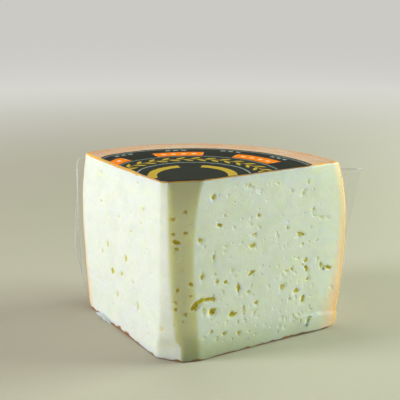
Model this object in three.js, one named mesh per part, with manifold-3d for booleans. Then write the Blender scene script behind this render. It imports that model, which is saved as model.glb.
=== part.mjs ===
// A wedge of semi-hard goat cheese, more than a quarter of a low barrel-shaped wheel.
// The wheel is turned about +Z, two knife cuts and a trimmed nose leave the wedge, and the eyes of the
// paste are hollowed out of the cut faces. A round printed label was cut along with the cheese, and a
// strip of clear wrapping film still clings to the rind.
import * as THREE from "three";
import { LoftGeometry } from "three/addons/geometries/LoftGeometry.js";
import { mergeVertices } from "three/addons/utils/BufferGeometryUtils.js";
import Module from "manifold-3d";

// Wheel, in millimetres
const HEIGHT = 95;
const RIM_RADIUS = 83.3;
const FOOT_RADIUS = 85.1;
const BULGE = 6.1;
const BULGE_BIAS = 1.16;
const RIM_ROUNDING = 1.8;
const FOOT_ROUNDING = 3.8;
const TOP_DISH = 0.5;
const WHEEL_STEPS = 120;
const PROFILE_STEPS = 16;

// Knife cuts: the corners of the nose as seen from above, measured from the wheel's axis
const CUT_OPENING = 94.7;
const NOSE_LEFT = new THREE.Vector2(-13.5, -14.3);
const NOSE_RIGHT = new THREE.Vector2(6.4, -8.2);
const NOSE_LEAN = new THREE.Vector2(0.93, 0.23);
const NOSE_SPREAD = new THREE.Vector2(0.72, -2.91);
const NOSE_BOW = 4.4;
const NOSE_BOW_BIAS = 1.07;
const CREASE_AT_TOP = 0.17;
const CREASE_AT_FOOT = 0.47;
const CREASE_PUSH = 2;
const CREASE_SWELL = 2.8;
const CREASE_SPREAD = 0.8;
const CUT_REACH = 130;
const CUT_LEVELS = 6;

// Label and film
const LABEL_RADIUS = 66;
const LABEL_THICKNESS = 0.3;
const LABEL_GAP = 0.15;
const FILM_FOOT = 6;
const FILM_TOP = 90.5;
const FILM_GAP = 0.6;
const FILM_THICKNESS = 0.4;
const FILM_FLAP_LEFT = 5;
const FILM_FLAP_RIGHT = 2;
const FILM_TORN_BELOW = 50;
const FILM_STEPS = 9;
const FILM_LEVELS = 24;

// Eyes: where the eye lies along its face and how high, its half length and half height, and its tilt
const LARGE_EYES = {
  right: [
    [6.7, 85.2, 1.1, 1.3, 0], [28.1, 88.5, 1.1, 0.8, 0], [10.8, 70.3, 1.2, 0.9, 0],
    [33.2, 72.9, 1.1, 0.9, 30], [60, 58.1, 2.1, 0.9, -20], [31, 62, 1.7, 0.8, 15],
    [29.9, 56.2, 1.9, 1.1, 15], [-1.1, 63.8, 1.3, 1.1, -30], [30.2, 42, 2.2, 1.3, 25],
    [0.4, 45.2, 1.1, 1.8, 0], [9.3, 42, 1.7, 0.9, 10], [21.8, 34.2, 0.9, 2.6, 15],
    [32.7, 24.2, 1.1, 1.1, 0], [58.6, 26, 1.4, 1.2, 20], [63.5, 20.4, 0.9, 1.9, -20],
    [64, 40.6, 1.4, 2.5, 15], [77.7, 35.9, 2.2, 1.8, 0], [-2.4, 31, 2.2, 1.1, 40],
    [0.6, 32.2, 2.4, 1.1, 15], [4.2, 32.6, 2.6, 1.1, 0], [7.4, 32.1, 2, 1, -10],
    [6.7, 25.4, 2, 1.5, 0], [18.4, 21, 2, 1.2, 10], [25.7, 16.2, 0.9, 1.6, -10],
  ],
  nose: [
    [6.5, 75.2, 1.8, 0.8, -10], [8.4, 63.8, 2, 0.9, -15], [8.9, 59.7, 1.1, 1, 0],
    [12.4, 67.9, 1.1, 0.8, 0], [16.6, 29.6, 2.4, 1.2, 60], [9.2, 37.5, 1, 1.2, 0],
  ],
  left: [
    [56.1, 47.5, 0.9, 1.4, 0], [35.2, 44.5, 0.8, 1.7, 0], [51, 33.2, 1.6, 1.5, 0],
    [45.8, 20.4, 0.9, 1.6, 0], [23.5, 21.3, 0.8, 1.7, 0], [14.8, 76.8, 0.9, 1, 0],
  ],
};
const SMALL_EYES = { right: 34, nose: 8, left: 26 };
const SMALL_EYE_LEAST = 0.45;
const SMALL_EYE_MOST = 1.1;
const EYE_MARGIN = 5;
const EYE_DEPTH = 0.8;
const EYE_SINK = 0.2;

const wasm = await Module();
wasm.setup();

function solidOf(geometry) {
  const bare = new THREE.BufferGeometry().copy(geometry);
  bare.deleteAttribute("normal");
  bare.deleteAttribute("uv");
  const merged = mergeVertices(bare, 1e-4);
  return new wasm.Manifold(new wasm.Mesh({
    numProp: 3,
    vertProperties: new Float32Array(merged.attributes.position.array),
    triVerts: new Uint32Array(merged.index.array),
  }));
}

function meshOf(name, solid, material) {
  const { vertProperties, triVerts } = solid.getMesh();
  const geometry = new THREE.BufferGeometry();
  geometry.setAttribute("position", new THREE.BufferAttribute(new Float32Array(vertProperties), 3));
  geometry.setIndex(new THREE.BufferAttribute(new Uint32Array(triVerts), 1));
  geometry.computeVertexNormals();
  const mesh = new THREE.Mesh(geometry, material);
  mesh.name = name;
  return mesh;
}

// A profile of (radius, height) points turned about +Z
function turned(points) {
  return solidOf(new THREE.LatheGeometry(points, WHEEL_STEPS).rotateX(Math.PI / 2));
}

// The barrel curve of the rind, before its edges are rounded
function barrelRadius(z) {
  const t = z / HEIGHT;
  const straight = FOOT_RADIUS + (RIM_RADIUS - FOOT_RADIUS) * t;
  return straight + BULGE * 4 * t * (1 - t) * (1 + BULGE_BIAS * (t - 0.5));
}

// How far a quarter-round edge of the given size draws in at a distance from its face
function edgeInset(distance, rounding) {
  const rise = Math.max(0, 1 - distance / rounding);
  return rounding * (1 - Math.sqrt(1 - rise * rise));
}

function rindRadius(z) {
  return barrelRadius(z) - edgeInset(z, FOOT_ROUNDING) - edgeInset(HEIGHT - z, RIM_ROUNDING);
}

function topHeight(radius) {
  return HEIGHT - TOP_DISH * (1 - (radius / RIM_RADIUS) ** 2);
}

// Heights that crowd together towards the foot and the rim, where the edges are rounded
function profileHeight(step) {
  return (HEIGHT * (1 - Math.cos((Math.PI * step) / PROFILE_STEPS))) / 2;
}

function wheel() {
  const points = [new THREE.Vector2(0, 0)];
  for (let step = 0; step <= PROFILE_STEPS; step++) {
    const z = profileHeight(step);
    points.push(new THREE.Vector2(rindRadius(z), z));
  }
  points.push(new THREE.Vector2(LABEL_RADIUS, topHeight(LABEL_RADIUS)));
  points.push(new THREE.Vector2(LABEL_RADIUS / 2, topHeight(LABEL_RADIUS / 2)));
  points.push(new THREE.Vector2(0, topHeight(0)));
  return turned(points);
}

// Direction of a cut as it runs from the nose to the rind: side is -1 for the left cut and 1 for the right
function cutDirection(side) {
  const half = THREE.MathUtils.degToRad(CUT_OPENING / 2);
  return new THREE.Vector2(side * Math.sin(half), Math.cos(half));
}

const CUT_LEFT = cutDirection(-1);
const CUT_RIGHT = cutDirection(1);
const FAR_LEFT = NOSE_LEFT.clone().addScaledVector(CUT_LEFT, CUT_REACH);
const FAR_RIGHT = NOSE_RIGHT.clone().addScaledVector(CUT_RIGHT, CUT_REACH);

// The nose leans a little as it rises, so both of its corners shift with height
function leaning(corner, z) {
  return corner.clone().addScaledVector(NOSE_LEAN, (2 * z) / HEIGHT - 1);
}

// The right corner of the nose also stands further out towards the foot
function rightStart(z) {
  return leaning(NOSE_RIGHT, z).addScaledVector(NOSE_SPREAD, 1 - z / HEIGHT);
}

// The trimmed nose as seen from above at one height: left corner, crease and right corner
function noseAt(z) {
  const t = z / HEIGHT;
  const left = leaning(NOSE_LEFT, z);
  const bow = NOSE_BOW * 4 * t * (1 - t) * (1 + NOSE_BOW_BIAS * (t - 0.5));
  const right = rightStart(z).addScaledVector(CUT_RIGHT, -bow);
  const across = right.clone().sub(left);
  const outward = new THREE.Vector2(across.y, -across.x).normalize();
  const share = THREE.MathUtils.lerp(CREASE_AT_FOOT, CREASE_AT_TOP, t);
  const push = CREASE_PUSH + CREASE_SWELL * t * (1 - t) + CREASE_SPREAD * (1 - t) ** 2;
  const crease = left.clone().addScaledVector(across, share).addScaledVector(outward, push);
  return { left, crease, right };
}

// Everything inside the cuts, from below the foot to above the rim
function cutBlock() {
  const back = FAR_LEFT.y + CUT_REACH;
  const sections = [];
  for (let level = -1; level <= CUT_LEVELS + 1; level++) {
    const z = (HEIGHT * level) / CUT_LEVELS;
    const nose = noseAt(THREE.MathUtils.clamp(z, 0, HEIGHT));
    const outline = [
      nose.left, nose.crease, nose.right, FAR_RIGHT,
      new THREE.Vector2(FAR_RIGHT.x, back), new THREE.Vector2(FAR_LEFT.x, back), FAR_LEFT,
    ];
    sections.push(outline.map((p) => new THREE.Vector3(p.x, p.y, z)));
  }
  return solidOf(new LoftGeometry(sections, { capStart: true, capEnd: true }));
}

// Where a point of a cut face lies in plan, and which way the face runs there
function onFace(face, along, z) {
  const nose = noseAt(z);
  let from = face === "right" ? rightStart(z) : nose.left;
  let to = face === "right" ? FAR_RIGHT : FAR_LEFT;
  let distance = along;
  if (face === "nose") {
    const first = nose.left.distanceTo(nose.crease);
    from = along < first ? nose.left : nose.crease;
    to = along < first ? nose.crease : nose.right;
    distance = along < first ? along : along - first;
  }
  const run = to.clone().sub(from).normalize();
  return { place: from.clone().addScaledVector(run, distance), run };
}

// One eye: an ellipsoid that breaks through the face
function eye(face, [along, z, halfLength, halfHeight, tilt]) {
  const { place, run } = onFace(face, along, z);
  const way = face === "left" ? -1 : 1;
  const across = new THREE.Vector3(run.x * way, run.y * way, 0);
  const up = new THREE.Vector3(0, 0, 1);
  const outward = across.clone().cross(up);
  const depth = EYE_DEPTH * (halfLength + halfHeight) / 2;
  const frame = new THREE.Matrix4().makeBasis(across, up, outward);
  frame.multiply(new THREE.Matrix4().makeRotationZ(THREE.MathUtils.degToRad(tilt)));
  frame.scale(new THREE.Vector3(halfLength, halfHeight, depth));
  frame.setPosition(place.x - outward.x * EYE_SINK * depth, place.y - outward.y * EYE_SINK * depth, z);
  const sides = halfLength + halfHeight > 2 ? 8 : 6;
  return solidOf(new THREE.SphereGeometry(1, sides, sides - 2).applyMatrix4(frame));
}

function fraction(value) {
  return value - Math.floor(value);
}

// Small eyes spread evenly by an additive recurrence, more of them low down than high up
function smallEyes(face, length) {
  const eyes = [];
  for (let i = 1; i <= SMALL_EYES[face]; i++) {
    const along = EYE_MARGIN + (length - 2 * EYE_MARGIN) * fraction(0.7548777 * i);
    const z = EYE_MARGIN + (HEIGHT - 2 * EYE_MARGIN) * fraction(0.569841 * i) ** 1.3;
    const size = SMALL_EYE_LEAST + (SMALL_EYE_MOST - SMALL_EYE_LEAST) * fraction(0.618034 * i) ** 2;
    eyes.push([along, z, size, size * (0.7 + 0.6 * fraction(0.414214 * i)), 180 * fraction(0.732051 * i)]);
  }
  return eyes;
}

function wedge(block) {
  let cheese = wheel().intersect(block);
  const lengths = {
    left: RIM_RADIUS - EYE_MARGIN,
    nose: NOSE_LEFT.distanceTo(NOSE_RIGHT) + EYE_MARGIN,
    right: RIM_RADIUS - EYE_MARGIN,
  };
  for (const face of ["left", "nose", "right"]) {
    for (const sizes of [...LARGE_EYES[face], ...smallEyes(face, lengths[face])]) {
      cheese = cheese.subtract(eye(face, sizes));
    }
  }
  return cheese;
}

// The label lies on the dished top and ends flush with the cuts
function label(block) {
  const radii = [0, LABEL_RADIUS / 2, LABEL_RADIUS];
  const under = radii.map((r) => new THREE.Vector2(r, topHeight(r) + LABEL_GAP));
  const over = radii.map((r) => new THREE.Vector2(r, topHeight(r) + LABEL_GAP + LABEL_THICKNESS));
  return turned([...under, ...over.reverse()]).intersect(block);
}

// How far the film reaches past the left cut: it is torn back towards the foot
function leftFlap(z) {
  return FILM_FLAP_LEFT * THREE.MathUtils.smoothstep(z, FILM_FOOT, FILM_TORN_BELOW);
}

// Everything between the two free ends of the film, in plan a kite about the wheel's axis
function filmBlock() {
  const ray = (angle) => new THREE.Vector2(Math.cos(angle), Math.sin(angle)).multiplyScalar(CUT_REACH);
  const rightEnd = rimAngle(NOSE_RIGHT, CUT_RIGHT) - FILM_FLAP_RIGHT / RIM_RADIUS;
  const sections = [];
  for (let level = 0; level <= FILM_LEVELS; level++) {
    const z = (HEIGHT * level) / FILM_LEVELS;
    const leftEnd = rimAngle(NOSE_LEFT, CUT_LEFT) + leftFlap(z) / RIM_RADIUS;
    const back = new THREE.Vector2(0, 3 * CUT_REACH);
    const outline = [new THREE.Vector2(0, 0), ray(rightEnd), back, ray(leftEnd)];
    sections.push(outline.map((p) => new THREE.Vector3(p.x, p.y, z)));
  }
  return solidOf(new LoftGeometry(sections, { capStart: true, capEnd: true }));
}

// A band of film round the rind, a little longer than the rind at both cuts
function film() {
  const inner = [];
  const outer = [];
  for (let step = 0; step <= FILM_STEPS; step++) {
    const z = THREE.MathUtils.lerp(FILM_FOOT, FILM_TOP, step / FILM_STEPS);
    inner.push(new THREE.Vector2(barrelRadius(z) + FILM_GAP, z));
    outer.push(new THREE.Vector2(barrelRadius(z) + FILM_GAP + FILM_THICKNESS, z));
  }
  return turned([...outer, ...inner.reverse(), outer[0].clone()]).intersect(filmBlock());
}

// The angle about the wheel's axis at which a cut reaches the rim
function rimAngle(corner, run) {
  const shift = corner.dot(run);
  const reach = Math.sqrt(shift * shift + RIM_RADIUS * RIM_RADIUS - corner.lengthSq()) - shift;
  const rim = corner.clone().addScaledVector(run, reach);
  return Math.atan2(rim.y, rim.x);
}

const paste = new THREE.MeshStandardMaterial({ color: "#ecebd8", roughness: 0.55, metalness: 0 });
const print = new THREE.MeshStandardMaterial({ color: "#2b2a27", roughness: 0.45, metalness: 0 });
const clear = new THREE.MeshStandardMaterial({
  color: "#e6ecec", roughness: 0.15, metalness: 0, transparent: true, opacity: 0.3,
});

const block = cutBlock();
const piece = new THREE.Group();
piece.add(meshOf("cheese_wedge", wedge(block), paste));
piece.add(meshOf("top_label", label(block), print));
piece.add(meshOf("wrap_film", film(), clear));

// The piece stands on its foot, centred over the origin
const bounds = new THREE.Box3().setFromObject(piece);
const middle = bounds.getCenter(new THREE.Vector3());
piece.position.set(-middle.x, -middle.y, -bounds.min.z);

export default piece;
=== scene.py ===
# %% [markdown]
# # A wedge of goat cheese
# The piece is more than a quarter of a barrel-shaped wheel of semi-hard goat cheese. A knife left two flat
# faces and a trimmed nose, a round printed label was cut along with the cheese, and clear film still clings
# to the rind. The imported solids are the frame: each of the three is replaced here by a finer surface that
# keeps its place and size.

# %% Load the frame
from functools import partial
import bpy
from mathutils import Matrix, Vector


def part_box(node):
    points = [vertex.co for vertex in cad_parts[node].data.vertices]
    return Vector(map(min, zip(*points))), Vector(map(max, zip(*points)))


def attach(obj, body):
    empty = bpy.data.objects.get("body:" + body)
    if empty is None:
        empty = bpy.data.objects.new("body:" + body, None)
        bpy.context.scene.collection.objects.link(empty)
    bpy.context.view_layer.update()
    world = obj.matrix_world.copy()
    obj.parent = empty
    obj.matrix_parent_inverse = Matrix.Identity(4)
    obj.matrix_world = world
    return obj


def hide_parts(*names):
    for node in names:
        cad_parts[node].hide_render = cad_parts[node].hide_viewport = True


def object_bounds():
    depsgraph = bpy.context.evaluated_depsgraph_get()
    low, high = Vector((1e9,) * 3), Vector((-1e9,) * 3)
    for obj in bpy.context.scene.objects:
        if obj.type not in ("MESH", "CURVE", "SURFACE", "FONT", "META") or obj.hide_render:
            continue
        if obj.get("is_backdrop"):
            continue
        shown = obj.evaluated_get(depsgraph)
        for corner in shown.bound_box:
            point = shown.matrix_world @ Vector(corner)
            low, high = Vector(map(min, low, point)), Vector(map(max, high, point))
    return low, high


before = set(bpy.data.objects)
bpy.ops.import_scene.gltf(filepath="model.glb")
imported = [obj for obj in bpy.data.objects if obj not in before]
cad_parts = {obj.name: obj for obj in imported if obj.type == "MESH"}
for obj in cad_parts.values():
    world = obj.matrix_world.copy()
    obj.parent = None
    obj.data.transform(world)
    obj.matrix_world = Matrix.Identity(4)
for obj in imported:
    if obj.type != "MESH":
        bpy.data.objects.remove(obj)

from types import SimpleNamespace

import bpy
import numpy as np
from mathutils import Matrix, Vector

solid_low, solid_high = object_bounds()
print("solids", sorted(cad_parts), "box in mm", [round(1000 * c, 1) for c in solid_high - solid_low])

# %% [markdown]
# ## The wheel and its cuts
# A wheel of cheese is a turned body: its radius depends on the height alone, bulging between a rounded foot
# and a sharper rim. The cuts are described from above, as lines that change a little with height. A spun
# profile cut by two planes would look much the same. Formulas on whole arrays, in millimetres from the
# wheel's axis, are used instead, because every later surface can ask them where the rind or a cut lies.

# %% Sizes in millimetres
MM = 0.001
HEIGHT = 95.0
RIM_RADIUS = 83.3
FOOT_RADIUS = 85.1
BULGE = 6.1
BULGE_BIAS = 1.16
RIM_ROUNDING = 1.8
FOOT_ROUNDING = 3.8
TOP_DISH = 0.5
CUT_OPENING = np.radians(94.7)
CUT_REACH = 130.0
NOSE_LEFT = np.array([-13.5, -14.3])
NOSE_RIGHT = np.array([6.4, -8.2])
NOSE_LEAN = np.array([0.93, 0.23])
NOSE_SPREAD = np.array([0.72, -2.91])
NOSE_BOW = 4.4
NOSE_BOW_BIAS = 1.07
CREASE_AT_TOP = 0.17
CREASE_AT_FOOT = 0.47
CREASE_PUSH = 2.0
CREASE_SWELL = 2.8
CREASE_SPREAD = 0.8
LABEL_RADIUS = 66.0


# %% Helpers on whole arrays
def smooth(value, low, high):
    """Smoothstep: 0 below low, 1 above high, and 3t^2 - 2t^3 between them."""
    t = np.clip((np.asarray(value) - low) / (high - low), 0, 1)
    return t * t * (3 - 2 * t)


def steps(count):
    """Evenly spaced shares, from 0 up to but without 1."""
    return np.linspace(0, 1, count, endpoint=False)


def unit(vectors):
    """Vectors divided by their own lengths."""
    return vectors / np.linalg.norm(vectors, axis=-1, keepdims=True)


def outwards(way):
    """Directions in plan turned a quarter to the right: out of the cheese, on the way round it."""
    return np.stack([way[..., 1], -way[..., 0]], axis=-1)


def on_circle(turn):
    """Points in plan at the given turns on the circle of radius 1."""
    return np.stack([np.cos(turn), np.sin(turn)], axis=-1)


def turn_of(plan):
    """Turns about the axis at which points in plan lie."""
    return np.arctan2(plan[..., 1], plan[..., 0])


# %% The turned shape of the wheel
RIGHT_SAG = 0.5
SAG_LEAST = 0.4
SAG_SPAN = (30, 65)
SAG_HEIGHTS = (70, 30)


def barrel_radius(z):
    """Straight slope from foot to rim plus a parabola 4t(1-t), weighted towards the rim by the bias."""
    t = z / HEIGHT
    slope = FOOT_RADIUS + (RIM_RADIUS - FOOT_RADIUS) * t
    return slope + BULGE * 4 * t * (1 - t) * (1 + BULGE_BIAS * (t - 0.5))


def edge_inset(distance, rounding):
    """Quarter-round edge: how far it draws in at a distance from its face."""
    rise = np.clip(1 - distance / rounding, 0, 1)
    return rounding * (1 - np.sqrt(1 - rise * rise))


def rind_radius(z):
    """Barrel radius less the two rounded edges."""
    return barrel_radius(z) - edge_inset(z, FOOT_ROUNDING) - edge_inset(HEIGHT - z, RIM_ROUNDING)


def right_sag(x, z):
    """How far the wheel has sagged out at its right end: by smoothsteps, and more towards the foot."""
    return RIGHT_SAG * smooth(x, *SAG_SPAN) * (SAG_LEAST + (1 - SAG_LEAST) * smooth(z, *SAG_HEIGHTS))


print("widest radius", round(float(rind_radius(np.linspace(0, HEIGHT, 200)).max()), 1), "mm")


# %% Noise for uneven surfaces
HASH_PRIMES = (73856093, 19349663, 83492791)
SEED_PRIME = 2654435
MIX_STEPS = [(15, 2246822519), (13, 3266489917)]
HASH_MASK = 0xFFFFFFFF
HASH_HALF = 0x7FFFFFFF
SEED_SHIFT = 31.7


def noise(points, size, seed):
    """Value noise from -1 to 1: hashed numbers on a lattice of the given size, blended by smoothsteps."""
    place = np.asarray(points, float) / size + SEED_SHIFT * seed
    cell = np.floor(place).astype(np.int64)
    share = place - cell
    weight = share * share * (3 - 2 * share)
    total = np.zeros(place.shape[:-1])
    for corner in np.ndindex(2, 2, 2):
        x, y, z = np.moveaxis((cell + corner) * HASH_PRIMES, -1, 0)
        mixed = (x ^ y ^ z ^ seed * SEED_PRIME) & HASH_MASK
        for bits, prime in MIX_STEPS:
            mixed = ((mixed ^ mixed >> bits) * prime) & HASH_MASK
        value = (mixed ^ mixed >> 16) / HASH_HALF - 1
        total += value * np.where(corner, weight, 1 - weight).prod(axis=-1)
    return total


def line_noise(z, size, seed):
    """The same noise along one line."""
    z = np.asarray(z, float)
    return noise(np.stack([z, 0 * z, 0 * z], axis=-1), size, seed)


def relief(points, layers):
    """Sum of noises. Each layer has a height and a size in millimetres, and a seed."""
    return sum(height * noise(points, size, seed) for height, size, seed in layers)


# %% The knife cuts
def cut_direction(side):
    """Unit vector along a cut, nose to rind: half the opening to the left (-1) or right (1) of +Y."""
    return np.array([side * np.sin(CUT_OPENING / 2), np.cos(CUT_OPENING / 2)])


FAR_LEFT = NOSE_LEFT + CUT_REACH * cut_direction(-1)
FAR_RIGHT = NOSE_RIGHT + CUT_REACH * cut_direction(1)


def leaning(corner, z):
    """A nose corner, which shifts steadily from foot to rim by the lean."""
    return corner + NOSE_LEAN * (2 * np.asarray(z, float)[..., None] / HEIGHT - 1)


def right_start(z):
    """The right nose corner, which also stands further out towards the foot by the spread."""
    return leaning(NOSE_RIGHT, z) + NOSE_SPREAD * (1 - np.asarray(z, float)[..., None] / HEIGHT)


def cut_line(side, z):
    """Where a cut starts at the nose, and its unit direction, at the heights z."""
    start = leaning(NOSE_LEFT, z) if side < 0 else right_start(z)
    return start, unit((FAR_LEFT if side < 0 else FAR_RIGHT) - start)


def corner_at(side, z, radius):
    """Where a cut meets a circle about the axis: the quadratic for the distance along the cut."""
    start, run = cut_line(side, z)
    shift = (start * run).sum(axis=-1)
    reach = np.sqrt(shift**2 + np.asarray(radius) ** 2 - (start**2).sum(axis=-1)) - shift
    return start + run * reach[..., None]


def rind_corner(side, z):
    """Where a cut comes out of the rind: on the plain circle first, then with the sag of that place."""
    plain = corner_at(side, z, rind_radius(z))
    return corner_at(side, z, rind_radius(z) + right_sag(plain[..., 0], z))


print("cuts open by", round(float(np.degrees(CUT_OPENING)), 1), "degrees")


# %% The trimmed nose
LAST_SLICE = (13.5, 7.5)
SLICE_TRIM = 1.9
SLICE_SHIFT = 0.13
SLICE_PUSH = 0.3
BOW_WANDER = 0.5
CREASE_WANDER = 0.035


def nose(z):
    """Left corner, wandering crease and bowed right corner; the lowest slice was trimmed differently."""
    t = np.asarray(z, float)[..., None] / HEIGHT
    last_slice = smooth(z, *LAST_SLICE)[..., None]
    left = leaning(NOSE_LEFT, z) + SLICE_TRIM * last_slice * cut_direction(-1)
    bow = NOSE_BOW * 4 * t * (1 - t) * (1 + NOSE_BOW_BIAS * (t - 0.5)) * (1 - last_slice)
    bow = bow + BOW_WANDER * line_noise(z, 13, 3)[..., None]
    right = right_start(z) - cut_direction(1) * bow
    across = right - left
    share = CREASE_AT_FOOT + (CREASE_AT_TOP - CREASE_AT_FOOT) * t
    share = share + CREASE_WANDER * line_noise(z, 15, 4)[..., None] + SLICE_SHIFT * last_slice
    push = CREASE_PUSH + CREASE_SWELL * t * (1 - t) + CREASE_SPREAD * (1 - t) ** 2 + SLICE_PUSH * last_slice
    return left, left + across * share + unit(outwards(across)) * push, right


label_low, label_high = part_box("top_label")
label_corner = corner_at(-1, np.array(HEIGHT), LABEL_RADIUS)
AXIS = np.array([label_low.x / MM - label_corner[0], label_high.y / MM - LABEL_RADIUS, 0])
print("wheel's axis stands at", AXIS.round(2), "mm in the frame")

# %% [markdown]
# ## One way to close a surface
# Cheese, eyes, label and film are all stacks of closed loops with a pole at either end, as a globe is a
# stack of parallels. One helper joins such a stack into a closed mesh, so no piece has an open seam, and
# many small shapes of one pattern can go into the same mesh.


# %% Closed mesh from loops
def add_object(name, data):
    """A new object in the scene, which holds the given mesh, lamp or camera."""
    thing = bpy.data.objects.new(name, data)
    bpy.context.scene.collection.objects.link(thing)
    return thing


def closed_mesh(name, loops, first, last):
    """Quads between neighbouring loops and a fan at each pole. loops is (shapes, loops, points, xyz)."""
    shapes, count, points = loops.shape[:3]
    vertices = np.concatenate([loops.reshape(shapes, -1, 3), np.stack([first, last], axis=1)], axis=1)
    south_pole, north_pole = count * points, count * points + 1
    here = np.arange(points)
    there = np.roll(here, -1)
    top = (count - 1) * points
    rings = points * np.arange(count - 1)[:, None, None]
    quads = rings + np.stack([here, there, points + there, points + here], axis=-1)
    south = np.stack([0 * here + south_pole, there, here], axis=-1)
    north = np.stack([0 * here + north_pole, top + here, top + there], axis=-1)
    starts = vertices.shape[1] * np.arange(shapes)[:, None, None]
    quads = (starts + quads.reshape(-1, 4)).reshape(-1, 4)
    fans = (starts + np.concatenate([south, north])).reshape(-1, 3)
    mesh = bpy.data.meshes.new(name)
    mesh.from_pydata(((vertices.reshape(-1, 3) + AXIS) * MM).tolist(), [], quads.tolist() + fans.tolist())
    mesh.update()
    return add_object(name, mesh)


def soften(piece, angle):
    """Smooth shading, with edges sharper than the angle kept crisp."""
    piece.data.polygons.foreach_set("use_smooth", np.ones(len(piece.data.polygons), bool))
    piece.data.set_sharp_from_angle(angle=np.radians(angle))


# %% [markdown]
# ## The cheese
# The wall runs once round the wedge: nose, right cut, rind, left cut. Each column of the grid is a place on
# that way round, each row a height. The cut faces get the shallow waves a knife leaves in a springy paste,
# and the rind the little pillows of the plastic mesh that lines the mould. A sculpted block would give the
# same look, but a grid keeps the paste, the rind and the top apart, and each gets its own relief.

# %% Rows and columns of the wall
IMPRINT_PITCH = 2.7
FOOT_ROWS = np.array([0, 0.25, 0.5, 0.8, 1.2, 1.8, 2.6, 3.6, 4.8])
RIND_ROWS = np.arange(2 * IMPRINT_PITCH + 0.9, HEIGHT - 2, IMPRINT_PITCH / 3)
RIM_ROWS = np.linspace(HEIGHT - RIM_ROUNDING, HEIGHT, 9)
ROWS = np.concatenate([FOOT_ROWS, RIND_ROWS, RIM_ROWS])
PILLOWS = 66
EVEN_PART = 0.6

STRIP_SHARES = steps(10)
BAND_SHARES = steps(22)
ARC_SHARES = steps(4 * PILLOWS)
even = steps(94)
FACE_SHARES = EVEN_PART * even + (1 - EVEN_PART) * (1 - np.cos(np.pi * even)) / 2
NOSE_COLUMNS = len(STRIP_SHARES) + len(BAND_SHARES)
COLUMNS = [NOSE_COLUMNS, len(FACE_SHARES), len(ARC_SHARES), len(FACE_SHARES)]
NOSE, RIGHT_CUT, RIND, LEFT_CUT = range(4)
ZONES = np.repeat([NOSE, RIGHT_CUT, RIND, LEFT_CUT], COLUMNS)
print(len(ROWS), "rows by", len(ZONES), "columns")


# %% Relief of the top
TOP_SUNK = 0.8
SUNK_WIDTH = 5
TOP_BUMPS = [(0.2, 7, 5), (0.12, 2.2, 6)]
BARE_FROM = (LABEL_RADIUS - 1, LABEL_RADIUS + 2)


def top_level(plan):
    """Paraboloid dish, deepest at the axis, sunk unevenly along the left cut, where the knife pressed."""
    start, run = cut_line(-1, np.array(HEIGHT))
    away = plan - start
    beside = np.abs(run[0] * away[..., 1] - run[1] * away[..., 0])
    sunk = smooth(beside, SUNK_WIDTH, 0) * (1 + line_noise((away * run).sum(axis=-1), 13, 31)) / 2
    dish = np.clip(1 - (np.linalg.norm(plan, axis=-1) / RIM_RADIUS) ** 2, 0, 1)
    return HEIGHT - TOP_DISH * dish - TOP_SUNK * sunk


def top_surface(plan):
    """The top with its bare rind: uneven outside the label, and smooth under it."""
    spot = np.concatenate([plan, 0 * plan[..., :1]], axis=-1)
    bare = smooth(np.linalg.norm(plan, axis=-1), *BARE_FROM)
    return top_level(plan) + bare * relief(spot, TOP_BUMPS)


print("top at the axis is", top_level(np.zeros((1, 2))).round(2), "mm high")


# %% Relief of the cut faces
# Low waves along the knife's way, finer ripples across it, and the grain of the curd.
KNIFE_WAVES = [(0.07, (17, 17, 34), 7), (0.04, (8, 8, 3.2), 8), (0.05, 3.2, 30)]
EDGE_WEAR = 0.6
TOP_WEAR = 0.4
TOP_WEAR_RIGHT = 0.9
WEAR_SPAN = (20, 50)
SLOPE_DEPTH = 0.6
SLOPE_REACH = 6
LEDGE_PUSH = 0.6
LEDGE_SPAN = (54, 70)
LEDGE_MIDDLE = (66, 11)
LEDGE_FALL = 0.11
LEDGE_WANDER = 0.3
LEDGE_LIP = (-0.3, 0.5)


def worn_edges(points):
    """Edges of a cut give way: a small quarter-round, and on the right a cubic slope towards the rind."""
    x, z = points[..., 0], points[..., 2]
    side = rind_radius(z) + right_sag(x, z) - np.linalg.norm(points[..., :2], axis=-1)
    side = np.maximum(side, 0)
    right = smooth(x, *WEAR_SPAN)
    slope = SLOPE_DEPTH * right * np.clip(1 - side / SLOPE_REACH, 0, 1) ** 3
    return slope + edge_inset(side, EDGE_WEAR) + edge_inset(HEIGHT - z, TOP_WEAR + TOP_WEAR_RIGHT * right)


def right_ledge(points):
    """A low ledge towards the rind, where the lowest slice of the right cut stands out a little."""
    start, run = cut_line(1, points[..., 2])
    along = ((points[..., :2] - start) * run).sum(axis=-1)
    middle, height = LEDGE_MIDDLE
    line = height - LEDGE_FALL * (along - middle) + LEDGE_WANDER * line_noise(along, 4, 9)
    return LEDGE_PUSH * smooth(along, *LEDGE_SPAN) * smooth(line - points[..., 2], *LEDGE_LIP)


print("knife waves are up to", round(sum(layer[0] for layer in KNIFE_WAVES), 2), "mm high")


# %% Plan of the wedge at each height
def between(start, end, shares):
    """Points that divide the way from start to end."""
    return start[:, None] + (end - start)[:, None] * shares[None, :, None]


def rind_ends(z):
    """Turns about the axis between which the rind runs: from one worn edge to the other."""
    turns = []
    for side in (1, -1):
        corner = rind_corner(side, z)
        worn = worn_edges(np.concatenate([corner, z[..., None]], axis=-1)) / rind_radius(z)
        turns.append(turn_of(corner) + side * worn)
    return turns


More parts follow.
